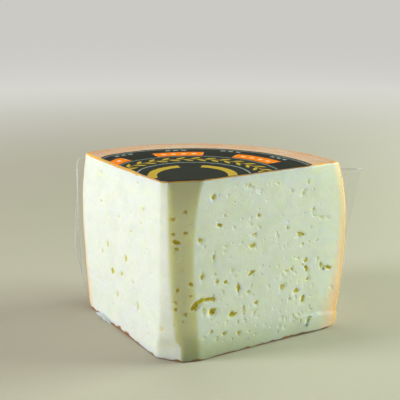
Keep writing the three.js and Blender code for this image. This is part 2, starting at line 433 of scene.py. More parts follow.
def outline(z):
    """The wedge from above, counter-clockwise: nose strip, nose band, right cut, rind and left cut."""
    left, crease, right = nose(z)
    right_corner = rind_corner(1, z)
    left_corner = rind_corner(-1, z)
    turn_right, turn_left = rind_ends(z)
    turn = turn_right[:, None] + (turn_left - turn_right)[:, None] * ARC_SHARES
    radius = rind_radius(z)[:, None]
    radius = radius + right_sag(radius * np.cos(turn), z[:, None])
    arc = radius[..., None] * on_circle(turn)
    sides = [
        between(left, crease, STRIP_SHARES), between(crease, right, BAND_SHARES),
        between(right, right_corner, FACE_SHARES), arc, between(left_corner, left, FACE_SHARES),
    ]
    return np.concatenate(sides, axis=1)


EASE_COLUMNS = 4
EASE_PASSES = 3


def ease_corners(plan):
    """Rounds the nose's corners: each point near the nose moves half way to the mean of its neighbours."""
    near = np.roll(np.arange(len(ZONES)) < NOSE_COLUMNS + 2 * EASE_COLUMNS, -EASE_COLUMNS)
    for _ in range(EASE_PASSES):
        mean = (np.roll(plan, 1, axis=1) + np.roll(plan, -1, axis=1)) / 2
        plan = np.where(near[None, :, None], (plan + mean) / 2, plan)
    return plan


# %% Relief of the rind and the foot
IMPRINT_DEPTH = 0.4
FADE_AT_FOOT = (2, 7)
FADE_AT_RIM = (1, 5)
LUMPS = [(0.3, 24, 10), (0.12, 6, 11)]
FOOT_LIFT = 0.35
FOOT_LIFT_RIGHT = 0.4
FOOT_LIFT_SPAN = (14, 58)
FOOT_LIFT_RANGE = (0.1, 2.8)
FOOT_UNEVEN = [(0.9, 11, 12), (0.3, 5, 13)]


def groove(points):
    """Grooves of the mesh, 0 to 1: one less the root of |sin| times |sin| at its pitch."""
    z = points[..., 2]
    first, last = rind_ends(np.clip(z, 0, HEIGHT))
    share = (turn_of(points) - first) / (last - first)
    pillow = np.sqrt(np.abs(np.sin(np.pi * (PILLOWS * share + 0.5)) * np.sin(np.pi * z / IMPRINT_PITCH)))
    return smooth(z, *FADE_AT_FOOT) * smooth(HEIGHT - z, *FADE_AT_RIM) * (1 - pillow)


def foot_lift(points):
    """How far the foot of a cut stands off the floor: uneven, and more towards the rind on the right."""
    lift = FOOT_LIFT + FOOT_LIFT_RIGHT * smooth(points[..., 0], *FOOT_LIFT_SPAN)
    return np.clip(lift + relief(points * [1, 1, 0], FOOT_UNEVEN), *FOOT_LIFT_RANGE)


print("mesh imprint:", PILLOWS, "pillows round and", int(HEIGHT / IMPRINT_PITCH), "up")


# %% Wall of the wedge
RIND_LIFT = 0.1
LIFT_REACH = 14
TOP_REACH = 15


def wall():
    """The outline at every row, pushed out by the relief of its zone, with an uneven foot along the cuts."""
    plan = ease_corners(outline(ROWS))
    points = np.dstack([plan, np.broadcast_to(ROWS[:, None], plan.shape[:2])])
    outward = unit(outwards(np.roll(plan, -1, axis=1) - np.roll(plan, 1, axis=1)))
    rind = ZONES == RIND
    cut_push = relief(points, KNIFE_WAVES) - worn_edges(points)
    cut_push = cut_push + np.where(ZONES == RIGHT_CUT, right_ledge(points), 0)
    push = np.where(rind, relief(points, LUMPS) - IMPRINT_DEPTH * groove(points), cut_push)
    points[..., :2] += push[..., None] * np.where(rind[None, :, None], unit(plan), outward)
    z = ROWS[:, None]
    foot = np.where(rind, RIND_LIFT, foot_lift(points[0]))
    rise = top_surface(points[..., :2]) - HEIGHT
    lifted = z + foot * np.clip(1 - z / LIFT_REACH, 0, 1)
    points[..., 2] = lifted + rise * smooth(z, HEIGHT - TOP_REACH, HEIGHT)
    return points


# %% Closed wedge with its foot and top
MIDDLE = np.array([-3.0, 37.0])
TOP_RINGS = np.append(np.linspace(0.985, 0.6, 18), [0.4, 0.2])
FOOT_RINGS = np.array([0.5, 0.9, 0.95, 0.98])
FOOT_FALL = np.array([0, 0, 0.3, 0.85])


def drawn_in(edge, shares):
    """Copies of an edge in plan, each drawn in towards the middle to its share."""
    return MIDDLE + (edge - MIDDLE) * shares[:, None, None]


def cheese_body():
    """Foot rings, wall and top rings in one stack: a ring is the wall's edge drawn in towards the middle."""
    side = wall()
    foot = np.dstack([drawn_in(side[0, :, :2], FOOT_RINGS), side[0, :, 2] * FOOT_FALL[:, None]])
    top = drawn_in(side[-1, :, :2], TOP_RINGS)
    top = np.dstack([top, top_surface(top)])
    stack = np.concatenate([foot, side, top])[None]
    poles = np.array([[*MIDDLE, 0], [*MIDDLE, *top_surface(MIDDLE[None])]])
    return closed_mesh("goat_cheese", stack, poles[:1], poles[1:])


cheese = cheese_body()
print("cheese before its eyes:", len(cheese.data.polygons), "faces")

# %% [markdown]
# ## Eyes and cracks in the paste
# Eyes are small hollows where the curd did not close, and the knife opened them. The larger ones have their
# own places. Small ones are spread by an additive recurrence, which covers a face evenly without looking
# regular. Each eye is a lumpy bowl with a soft lip, and a Boolean takes it out of the cheese, so the hollows
# are real: their far lips catch the light and their beds are in shade. A bump map would not show that.

# %% Places and sizes of the eyes
# Each row: millimetres along the face from the nose, height, half length, half height, tilt in degrees.
RIGHT_EYES = np.array([
    [10.1, 70.2, 1.4, 1.2, 0], [60, 58, 2.5, 1.15, -15], [29.9, 56.5, 2, 1.1, 15],
    [-1.1, 64.1, 1.3, 1.1, -30], [30.2, 42.1, 2.2, 1.15, 25], [14.4, 39.9, 1.2, 1.2, 0],
    [22.2, 35, 1.15, 2.8, 15], [59.3, 26.4, 1.6, 1.2, 20], [64.2, 20.8, 1.2, 2.4, -20],
    [65.3, 38.9, 1.2, 2.1, 5], [64.4, 43.2, 1.1, 1.5, 20], [62.7, 40.6, 1.2, 0.9, 20],
    [80, 35.9, 1.8, 1.2, 0], [75.2, 37.8, 1.1, 1.5, 0], [77.6, 36.2, 1.2, 0.9, 0],
    [7.3, 25.6, 2.3, 1.6, 0], [19.2, 21.5, 2.3, 1.3, 10], [14.4, 11.7, 1.2, 1.1, 0],
])
NOSE_EYES = np.array([
    [7.6, 76, 1.9, 1, 0], [9.8, 64.4, 2.1, 1.1, -8], [9.7, 60.8, 1.1, 1.2, 0], [13.6, 68.9, 1.2, 0.9, 0],
    [8, 68.1, 1.6, 0.9, 0], [10.5, 39, 1, 1.2, 0], [17.2, 42.2, 1.4, 1, -25], [9.6, 29.1, 1, 1, 0],
    [14.6, 26, 1.2, 1.1, 0], [16.9, 35.8, 1.1, 0.9, 0], [13.5, 79.2, 1.05, 1.1, 0],
])
LEFT_EYES = np.array([[35.2, 44.2, 1.1, 2.2, 0]])
# Pits are as wide, but the curd closed further: single ones, and a crease near the rind.
RIGHT_PITS = np.array([
    [33.5, 25, 1.35, 1.35, 0], [31, 62.2, 2, 1.25, 15], [0.6, 45.8, 1.2, 2, 0],
    [26.4, 22.4, 1.15, 2.3, 0], [55.6, 39.8, 1.2, 1.5, 0], [52.6, 39, 1.3, 1.1, 0],
    [50.1, 30.3, 1.2, 1.9, 0], [2.1, 26.4, 1.15, 1.8, 0], [9.8, 41.6, 1.7, 1.2, 10],
    [6, 85.4, 1.25, 1.4, 0], [33, 72.5, 1.25, 1.25, 30], [6.4, 14.5, 1.3, 1.15, -15],
    [28.6, 31.6, 1.15, 1.15, 0], [68.2, 70.5, 1.15, 1.15, 0], [23.4, 10.3, 1.2, 1.15, 0],
    [6.9, 54.9, 1.1, 1.6, 0], [61.9, 52.3, 1.15, 1.05, 0], [27.3, 88, 1.2, 1.1, 0],
    [66.6, 32, 1.1, 1.1, 0], [18.1, 45.4, 1.3, 1, 0], [51.7, 63.1, 1.1, 1.2, 0],
    [59.4, 45.2, 1.15, 0.95, 0], [26.8, 16.4, 0.95, 1.1, 0], [72.3, 42.5, 1.05, 1.1, 20],
    [13, 74.8, 0.95, 1, -10], [55.4, 23.1, 0.95, 1.1, 0], [2.6, 12.3, 0.9, 0.9, 0],
    [59.4, 22.9, 0.9, 0.9, 0], [83.4, 24.3, 0.95, 1, 0], [13.8, 58.6, 1.2, 0.8, 0],
    [58.1, 37.1, 0.9, 0.8, 0], [69.5, 14.1, 1.1, 0.85, 0], [22.5, 16.4, 0.95, 0.95, 0],
    [1.6, 60.4, 0.8, 1, 0], [69, 67.2, 2, 0.95, -25], [73.3, 65.6, 2.1, 1, -20],
    [77.8, 64.5, 1.9, 0.95, -10],
])
NOSE_PITS = np.array([
    [13.3, 22.6, 1, 1.4, 10], [8.7, 20.8, 0.9, 0.9, 0], [9.6, 32.9, 1, 1.2, 0], [15.9, 73.5, 1.1, 0.9, 0],
    [10.2, 55.3, 0.9, 0.9, 0], [12.3, 49.8, 0.9, 0.9, 0], [1.4, 17.5, 1.1, 1.1, 0],
])
LEFT_PITS = np.array([
    [50.8, 32.8, 2.2, 1.9, 0], [45.2, 20.4, 1.3, 2.5, 0], [56.4, 47.3, 1.3, 2, 0],
    [40.3, 34.6, 1.3, 1.4, 0], [22.8, 21.4, 1.2, 2.6, 0], [29.5, 60.7, 1.5, 1.15, 0],
    [63.2, 70.3, 1.5, 1.05, 0], [27.3, 33.4, 1.1, 1.15, 0],
])
# Dimples are hardly open: a row of them above the ledge, and single ones.
RIGHT_DIMPLES = np.array([
    [57.8, 12.1, 1.2, 1.4, 15], [53.4, 11.8, 1, 1.2, 0], [50.4, 13.3, 1.2, 1, 20], [61.9, 12.4, 1, 1, 0],
    [61.2, 81.2, 1.3, 1.6, 10], [28, 68.5, 1.2, 1.3, 0], [45.3, 59.6, 1.1, 1.8, 0],
    [36.6, 44.5, 1.5, 1.2, 0], [12.5, 35, 1.2, 1.2, 0], [34.2, 65.5, 1.2, 1.2, 0],
    [32.7, 19.9, 1.2, 1.2, 0], [30.2, 35, 1.2, 1.2, 0], [49.8, 37.1, 1.2, 1.2, 0],
    [19.9, 42, 1.2, 1.2, 0], [49.8, 52.7, 1.1, 1.1, 0], [33.6, 85.4, 1.3, 1, 0],
])
NOSE_DIMPLES = np.array([[2.2, 45, 1.1, 1.1, 0], [1.6, 71, 1, 1.3, 0]])
LEFT_DIMPLES = np.array([
    [15.8, 76.6, 1.6, 1.7, 0], [55.5, 64.2, 1.3, 1.9, 0], [62.8, 41.4, 1.4, 1.9, -10],
    [54.1, 26.3, 1.4, 1.3, 0], [67.9, 23.2, 1.4, 1.2, 0], [11.8, 14.1, 1.4, 1.1, 0],
    [58.6, 57.7, 1.4, 1.2, 0], [21.4, 89, 1.4, 1.2, 0], [50.7, 13, 1.3, 1.2, 0],
    [42.4, 65.8, 1.3, 1.2, 0], [18.8, 68.7, 1.3, 1.2, 0],
])

placed = (RIGHT_EYES, NOSE_EYES, LEFT_EYES, RIGHT_PITS, NOSE_PITS, LEFT_PITS)
placed = (*placed, RIGHT_DIMPLES, NOSE_DIMPLES, LEFT_DIMPLES)
print(sum(map(len, placed)), "hollows have their own places")

# %% Small eyes, spread by formula
EYE_MARGIN = 5.0
ALONG_STEP = 0.7548777
HEIGHT_STEP = 0.569841
SIZE_STEP = 0.618034
SHAPE_STEP = 0.414214
TILT_STEP = 0.732051
LOW_BIAS = 1.3
FLATTEST = 0.7
ROUNDEST = 1.3


def small_eyes(count, least, most, length, first):
    """Additive recurrences: the plastic ratio for place, the golden ratio for size. More lie low down."""
    i = np.arange(first, first + count)
    along = EYE_MARGIN + (length - 2 * EYE_MARGIN) * (ALONG_STEP * i % 1)
    z = EYE_MARGIN + (HEIGHT - 2 * EYE_MARGIN) * (HEIGHT_STEP * i % 1) ** LOW_BIAS
    size = least + (most - least) * (SIZE_STEP * i % 1) ** 2
    shape = FLATTEST + (ROUNDEST - FLATTEST) * (SHAPE_STEP * i % 1)
    return np.stack([along, z, size, size * shape, 180 * (TILT_STEP * i % 1)], axis=1)


# %% Where an eye sits on its face
def on_cut(side, eyes):
    """Point on a cut at a distance along it, and the face's own right-hand direction seen from outside."""
    start, run = cut_line(side, eyes[:, 1])
    return np.column_stack([start + run * eyes[:, :1], run * side])


def on_nose(eyes):
    """The same on the nose: measured along the strip up to the crease, and along the band after it."""
    left, crease, right = nose(eyes[:, 1])
    first = np.linalg.norm(crease - left, axis=1, keepdims=True)
    on_strip = eyes[:, :1] < first
    start = np.where(on_strip, left, crease)
    run = unit(np.where(on_strip, crease, right) - start)
    return np.column_stack([start + run * (eyes[:, :1] - np.where(on_strip, 0, first)), run])


def seat(right, front, left):
    """Rows of all faces in one array: the five eye values, the point in plan and the face's direction."""
    places = np.concatenate([on_cut(1, right), on_nose(front), on_cut(-1, left)])
    return np.column_stack([np.concatenate([right, front, left]), places])


# %% Bowls with soft lips
RING_SHARES = np.array([0.2, 0.4, 0.55, 0.67, 0.76, 0.86, 1.0, 1.2, 1.2])
LIP_RISE = np.array([0, 0, 0, 0, 0, 0, 0, 0.25, 1.6])
OUTLINE_RING = 4
OUTLINE_LUMP = 0.6
BED_LUMP = 0.5
LIP_SPREAD = 1.65
LIP_DEPTH = 0.22
CORE_DEPTH = 0.22
CORE_SHARE = 0.68
LUMPINESS = 0.6
EYE_APART = 7.3
EYE_FULLNESS = 1.15
FULL_SIZE = 1.5
DEPTH_LEAST = 0.55
RISE_LEAST = 0.3
BED_ASIDE = 0.3
BED_TURN = 2.4


def eye_bowls(name, eyes, points, seed, sink):
    """A lip (1 - r^2)^2 round a flat core (1 - r^4), lumpy by noise, with its bed a little off centre."""
    z, half_length, half_height, tilt = eyes[:, 1:5].T[..., None, None]
    number = np.arange(len(eyes))[:, None, None]
    around = 2 * np.pi * steps(points)
    spokes = np.column_stack([on_circle(around), 0 * around])
    spot = spokes * RING_SHARES[:, None, None] + EYE_APART * number[..., None]
    reach = 1 + LUMPINESS * noise(spot[:, OUTLINE_RING, None], OUTLINE_LUMP, seed)
    reach = LIP_SPREAD * RING_SHARES[:, None] * reach
    size = EYE_FULLNESS * np.minimum(half_length, half_height)
    lip = LIP_DEPTH * (1 - np.clip(RING_SHARES, 0, 1) ** 2) ** 2
    core = CORE_DEPTH * np.clip(1 - (RING_SHARES / CORE_SHARE) ** 4, 0, 1)
    bowl = -sink * LIP_SPREAD * size * (lip + core)[:, None]
    bowl = bowl * np.clip(size / FULL_SIZE, DEPTH_LEAST, 1)
    bowl = bowl * (1 + LUMPINESS * noise(spot, BED_LUMP, seed + 1))
    deep = bowl + LIP_RISE[:, None] * np.clip(size / FULL_SIZE, RISE_LEAST, 1)
    aside = BED_ASIDE * np.clip(1 - RING_SHARES, 0, 1)[:, None]
    length = (reach * np.cos(around) + aside * np.cos(BED_TURN * number)) * half_length
    height = (reach * np.sin(around) + aside * np.sin(BED_TURN * number)) * half_height
    c, s = np.cos(np.radians(tilt)), np.sin(np.radians(tilt))
    across = eyes[:, 7:9]
    outward = outwards(across)
    centre = eyes[:, 5:7] + outward * relief(eyes[:, [5, 6, 1]], KNIFE_WAVES)[:, None]
    plan = centre[:, None, None] + across[:, None, None] * (length * c - height * s)[..., None]
    plan = plan + outward[:, None, None] * deep[..., None]
    loops = np.concatenate([plan, (z + (length * s + height * c))[..., None]], axis=-1)
    return closed_mesh(name, loops, loops[:, 0].mean(axis=1), loops[:, -1].mean(axis=1))


# %% A crack from the nose into the right cut
# Each row: millimetres along the right cut, height, half width and depth.
CRACK = np.array([
    [-5, 27.6, 0.3, 0.5], [-4.4, 28.8, 1.3, 1.5], [-3.4, 30.2, 1.4, 1.7], [-2, 31.7, 1.3, 1.3],
    [0, 32.4, 1.3, 1.2], [2.3, 32.6, 1, 1], [4.6, 32.6, 1.2, 1.1], [7, 32.1, 1.1, 0.9],
    [8.7, 31.7, 1, 0.7], [9.6, 31.6, 0.2, 0.3],
])
CRACK_STEPS = 60
CRACK_POINTS = 14
CRACK_OUT = 1.0
CRACK_WANDER = 0.35
CRACK_RAGGED = 0.3
CRACK_BACK = 0.27
CRACK_BACK_FROM = -2.9
CRUMBS = [(0.3, 1.3, 35), (0.2, 0.6, 36)]


def crack_groove(name, widen, deepen):
    """A lens carried along the crack: half its width to each side, its depth inwards, a little outwards."""
    fine = np.linspace(0, len(CRACK) - 1, CRACK_STEPS)
    along, z, width, depth = (np.interp(fine, np.arange(len(CRACK)), column) for column in CRACK.T)
    z = z + CRACK_WANDER * line_noise(fine, 0.5, 32)
    width = widen * width * (1 + CRACK_RAGGED * line_noise(fine, 0.5, 33))
    spot = on_cut(1, np.column_stack([along, z]))
    outward = np.column_stack([outwards(spot[:, 2:]), 0 * z])
    back = CRACK_BACK * np.maximum(CRACK_BACK_FROM - along, 0)
    path = np.column_stack([spot[:, :2], z]) - outward * back[:, None]
    sideways = np.cross(outward, unit(np.gradient(path, axis=0)))
    around = 2 * np.pi * steps(CRACK_POINTS)
    level = np.where(np.sin(around) < 0, deepen * depth[:, None], CRACK_OUT) * np.sin(around)
    loops = path[:, None] + sideways[:, None] * (width[:, None] * np.cos(around))[..., None]
    loops = loops + outward[:, None] * level[..., None]
    loops = loops + outward[:, None] * (relief(loops, CRUMBS) * deepen)[..., None]
    return closed_mesh(name, loops[None], path[None, 0], path[None, -1])


print("crack runs over", round(float(np.ptp(CRACK[:, 0])), 1), "mm of the cut")


# %% Take the eyes out of the cheese
def hollow(body, bowls):
    """Boolean difference, applied: the body keeps the result and the bowls are removed."""
    cut = body.modifiers.new("eyes", "BOOLEAN")
    cut.operation = "DIFFERENCE"
    cut.solver = "MANIFOLD"
    cut.object = bowls
    shown = body.evaluated_get(bpy.context.evaluated_depsgraph_get())
    carved = bpy.data.meshes.new_from_object(shown)
    body.modifiers.clear()
    old = body.data
    body.data = carved
    bpy.data.meshes.remove(old)
    bpy.data.objects.remove(bowls)


# %% All eyes and the crack
FACE_LENGTH = RIM_RADIUS - EYE_MARGIN
NOSE_LENGTH = np.linalg.norm(NOSE_RIGHT - NOSE_LEFT) + EYE_MARGIN
# Right cut, nose and left cut: how many, and least and most half length in millimetres.
SMALL_EYES = [(46, 0.65, 1.2), (6, 0.6, 1.1), (30, 0.6, 1.1)]
PORES = [(80, 0.35, 0.65), (10, 0.3, 0.6), (50, 0.35, 0.65)]
FIRST_PORE = 70


def spread(rows, first):
    """Small eyes of one kind on all three faces."""
    lengths = (FACE_LENGTH, NOSE_LENGTH, FACE_LENGTH)
    return seat(*(small_eyes(*row, length, first) for row, length in zip(rows, lengths)))


large = seat(RIGHT_EYES, NOSE_EYES, LEFT_EYES)
pits = seat(RIGHT_PITS, NOSE_PITS, LEFT_PITS)
# Name, eyes, points round a bowl, seed, and depth for its size. Every other eye is cut first, because
# neighbours overlap and one mesh should not cross itself.
EYE_SETS = [
    ("large_eyes_even", large[0::2], 18, 14, 0.85), ("large_eyes_odd", large[1::2], 18, 16, 0.85),
    ("pits_even", pits[0::2], 14, 22, 0.5), ("pits_odd", pits[1::2], 14, 24, 0.5),
    ("dimples", seat(RIGHT_DIMPLES, NOSE_DIMPLES, LEFT_DIMPLES), 12, 26, 0.28),
    ("small_eyes", spread(SMALL_EYES, 1), 12, 18, 0.42), ("pores", spread(PORES, FIRST_PORE), 8, 20, 0.65),
]
hollow(cheese, crack_groove("crack_lip", widen=1.9, deepen=0.25))
hollow(cheese, crack_groove("crack", widen=1.0, deepen=1.0))
for name, eyes, points, seed, sink in EYE_SETS:
    hollow(cheese, eye_bowls(name, eyes, points, seed, sink))
cheese.data.name = "goat_cheese"
soften(cheese, 40)
print("cheese with", sum(len(row[1]) for row in EYE_SETS), "eyes:", len(cheese.data.polygons), "faces")

# %% [markdown]
# ## What lies under each point of the cheese
# The colour of cheese follows depth: orange skin, a creamy edge under the rind, white paste, and yellower
# walls inside the eyes. Numbers stored on the points say how far each one is from the top, the foot, the
# rind at the side and the cut faces, and the material reads them. The same numbers place painted shade on
# the nose band, deep in the large eyes and along the foot. A painted mask could do this too, but it would
# need a picture, and would not follow when a size changes.


# %% Depths stored on the mesh
DEPTHS = ("top_depth", "foot_depth", "side_depth", "cut_depth", "corner_depth", "band_depth", "groove")


def depths(points):
    """Millimetres in from top, foot, rind, nearest cut, the nose band's corners and the band; grooves."""
    plan = points[:, :2]
    z = points[:, 2]
    side = rind_radius(np.clip(z, 0, HEIGHT)) + right_sag(plan[:, 0], z) + relief(points, LUMPS)
    side = side - np.linalg.norm(plan, axis=1)
    left, crease, right = nose(z)
    edges = [(FAR_LEFT + 0 * left, left), (left, crease), (crease, right), (right, FAR_RIGHT + 0 * right)]
    inside = []
    for start, end in edges:
        run = end - start
        away = plan - start
        inside.append((run[:, 0] * away[:, 1] - run[:, 1] * away[:, 0]) / np.linalg.norm(run, axis=1))
    cut = np.min(inside, axis=0) - worn_edges(points) + relief(points, KNIFE_WAVES)
    _, strip, band, right_cut = inside
    corner = np.minimum(strip, right_cut)
    return top_surface(plan) - z, z - foot_lift(points), side, cut, corner, band, groove(points)


spots = np.empty(len(cheese.data.vertices) * 3)
cheese.data.vertices.foreach_get("co", spots)
for name, values in zip(DEPTHS, depths(spots.reshape(-1, 3) / MM - AXIS)):
    stored = cheese.data.attributes.new(name, "FLOAT", "POINT")
    stored.data.foreach_set("value", values.astype(np.float32))
    print(name, "from", round(float(values.min()), 2), "to", round(float(values.max()), 2))

# %% [markdown]
# ## Materials: two helpers
# Colours are written as hex values, as a paint chart gives them, and one function turns them to the linear
# numbers Blender works in. Another adds a node, sets it and links it, so a material reads as a list of steps.


# %% Colour and node helpers
def linear(hex_colour):
    """sRGB hex to linear RGBA: c/12.92 below 0.04045, else ((c + 0.055) / 1.055) to the power 2.4."""
    c = np.array([int(hex_colour[i:i + 2], 16) for i in (1, 3, 5)]) / 255
    return (*np.where(c <= 0.04045, c / 12.92, ((c + 0.055) / 1.055) ** 2.4).tolist(), 1.0)


def add(tree, kind, *values, out=None, named=None, **settings):
    """Adds a node; values fill its inputs in order or by name: a socket is linked, anything else is set."""
    node = tree.nodes.new("ShaderNode" + kind)
    for name, value in settings.items():
        setattr(node, name, value)
    shown = [socket for socket in node.inputs if socket.enabled]
    pairs = [*zip(shown, values), *((node.inputs[key], value) for key, value in (named or {}).items())]
    for socket, value in pairs:
        if isinstance(value, bpy.types.NodeSocket):
            tree.links.new(value, socket)
        else:
            socket.default_value = value
    return node.outputs[out] if out else next((socket for socket in node.outputs if socket.enabled), None)


def new_material(name):
    """An empty material, and the helper bound to its tree."""
    material = bpy.data.materials.new(name)
    material.use_nodes = True
    material.node_tree.nodes.clear()
    return material, partial(add, material.node_tree)


def wheel_place(node):
    """Place from the wheel's axis in mm, and its radius, turn about the axis and height."""
    place = node("TexCoord", out="Object")
    place = node("Mapping", place, (-AXIS).tolist(), (0, 0, 0), (1 / MM, 1 / MM, 1 / MM))
    x, y, z = node("SeparateXYZ", place).node.outputs
    radius = node("VectorMath", node("CombineXYZ", x, y), operation="LENGTH")
    return place, radius, node("Math", y, x, operation="ARCTAN2"), z


# %% [markdown]
# ## Goat cheese: paste and oiled rind
# Goat's milk has no carotene, so the paste is almost white. It is moist and a little translucent, which
# gives soft shadows and yellower hollows. The rind was rubbed with oil and annatto: orange in section, and
# tan with orange streaks outside, drawn round the wheel by the hand that rubbed it. One material holds both,
# laid on in layers by depth, because in a real cheese the one passes into the other.

# %% Goat cheese colours
PASTE = linear("#f1f3e8")
PASTE_DULL = linear("#ebeedf")
# Painted shade: the nose band is tinted yellower, which stands for the warm light in its shade.
NOSE_SHADE_TINT = linear("#eff1ce")
# Painted shade: the nose band darkens towards its top and its foot.
NOSE_BAND_SHADE = linear("#dedcb6")
# Painted shade: the paste darkens towards the foot, right of the nose.
FOOT_SHADE = linear("#c2c8a4")
EDGE_CREAM = linear("#fde1c3")
EYE_YELLOW = linear("#ddd152")
# Deep in the large eyes, a stronger and darker yellow: partly the curd's own colour, partly painted shade.
EYE_DEEP_YELLOW_AND_SHADE = linear("#d2bf48")
RIND_PEACH = linear("#fdcb9c")
RIND_SECTION = linear("#fcb864")
RIND_ORANGE = linear("#ffac40")
# The foot line of the cuts: rind, darkened as painted contact shadow.
FOOT_RIND_AND_SHADOW = linear("#a3612f")
SKIN_TAN = linear("#d8b89e")
SKIN_ORANGE = linear("#d98f58")
SKIN_GROOVE = linear("#b98450")
SKIN_PALE = linear("#ead8bd")


# %% What the colours depend on
def cheese_places(node):
    """Everything the colours depend on: place, radius, turn and height, and the stored depths, as sockets."""
    names = ("place", "radius", "turn", "z", *DEPTHS)
    stored = (node("Attribute", attribute_name=name, out="Fac") for name in DEPTHS)
    return SimpleNamespace(**dict(zip(names, (*wheel_place(node), *stored))))


# %% Colour of the cut paste
MOTTLE_SIZE = 9.0
CURD_SIZE = 2.2
EDGE_SIZE = 2.5
FOOT_PATCH_SIZE = 7.0


def paste_colour(node, at):
    """Mottled paste, yellow eyes, rind layers outwards; painted shade on the nose band, deep in eyes and at
    the foot.
    """
    edge = node("MapRange", node("TexNoise", at.place, 1 / EDGE_SIZE, 3.0), 0.3, 0.7, 0.85, 1.18)
    thin_left = node("MapRange", at.turn, 1.2, 2.0, 1.0, 2.2)
    thin_above = node("MapRange", at.z, 12, 92, 0.5, 1.4)
    thin_right = node("MapRange", at.turn, 1.2, 2.0, 1.5, 0.6)
    # The foot line below is rind and painted contact shadow, in patches and thicker on the left.
    thin_foot = node("MapRange", node("TexNoise", at.place, 1 / FOOT_PATCH_SIZE, 2.0), 0.35, 0.65, 0.5, 2.0)
    thick_left = node("MapRange", at.turn, 1.8, 2.3, 1.0, 0.45)
    # Painted shade on the nose band grows towards its top and its foot.
    ends = node("Math", node("MapRange", at.z, 72, 93), node("MapRange", at.z, 20, 3), operation="ADD")
    # Painted shade at the foot: right of the nose, and weaker towards the rind.
    x = node("SeparateXYZ", at.place)
    right_of_nose = node("MapRange", x, -3, 0)
    less_rightwards = node("MapRange", x, 8, 45, 1.0, 0.5)
    products = [
        (at.side_depth, edge, thin_left, thin_above), (at.top_depth, edge, thin_right),
        (at.foot_depth, thin_foot, thick_left), (node("MapRange", at.band_depth, 0.5, 0.05), ends),
        (right_of_nose, less_rightwards, node("MapRange", at.foot_depth, 20, 0)),
    ]
    weighted = []
    for value, *factors in products:
        for factor in factors:
            value = node("Math", value, factor, operation="MULTIPLY")
        weighted.append(value)
    side, top, foot, band_shade, foot_shade = weighted
    layers = [
        (node("TexNoise", at.place, 1 / MOTTLE_SIZE, 4.0), 0.4, 0.7, PASTE_DULL),
        (node("TexNoise", at.place, 1 / CURD_SIZE, 2.0), 0.5, 0.75, PASTE_DULL),
        (at.band_depth, 0.5, 0.05, NOSE_SHADE_TINT), (band_shade, 0.0, 1.0, NOSE_BAND_SHADE), (foot_shade, 0.0, 1.0, FOOT_SHADE),
        (side, 7.5, 2.0, EDGE_CREAM), (at.cut_depth, 0.12, 0.55, EYE_YELLOW),
        (at.cut_depth, 0.8, 1.8, EYE_DEEP_YELLOW_AND_SHADE), (side, 3.2, 1.0, RIND_PEACH), (side, 1.3, 0.5, RIND_SECTION),
        (top, 0.9, 0.65, RIND_ORANGE), (foot, 0.7, 0.3, FOOT_RIND_AND_SHADOW),
    ]
    colour = PASTE
    for value, low, high, over in layers:
        share = node("MapRange", value, low, high, interpolation_type="SMOOTHSTEP")
        colour = node("Mix", share, colour, over, data_type="RGBA")
    return colour


# %% Colour of the rind
PATCH_SIZE = 25.0
STREAK_SIZE = 1.8
STREAK_STRETCH = 0.12
FLECK_SIZE = 1.1


def skin_colour(node, at):
    """Tan with orange patches, streaks drawn round the wheel, an orange rim, grooves and pale flecks."""
    arc = node("Math", at.turn, RIM_RADIUS, operation="MULTIPLY")
    rolled = node("CombineXYZ", arc, at.radius, at.z)
    drawn = node("Mapping", rolled, (0, 0, 0), (0, 0, 0), (STREAK_STRETCH, 1, 1))
    near_top = node("MapRange", at.top_depth, 3.0, 0.5)
    rim = node("Math", near_top, node("MapRange", at.radius, 77, 82), operation="MULTIPLY")
    layers = [
        (node("TexNoise", rolled, 1 / PATCH_SIZE, 3.0), 0.4, 0.7, 0.5, SKIN_ORANGE),
        (node("TexNoise", drawn, 1 / STREAK_SIZE, 4.0), 0.48, 0.66, 0.85, SKIN_ORANGE),
        (rim, 0.0, 1.0, 0.6, SKIN_ORANGE), (at.radius, 78.0, 67.0, 0.2, SKIN_PALE),
        (at.groove, 0.3, 0.9, 0.7, SKIN_GROOVE),
        (node("TexNoise", rolled, 1 / FLECK_SIZE, 3.0), 0.55, 0.75, 0.8, SKIN_PALE),
    ]
    colour = SKIN_TAN
    for value, low, high, most, over in layers:
        colour = node("Mix", node("MapRange", value, low, high, 0.0, most), colour, over, data_type="RGBA")
    return colour


# %% Goat cheese material
GRAIN_SIZE = 0.8
LIGHT_REACH = 7 * MM
CORNER_LIGHT_REACH = 21 * MM


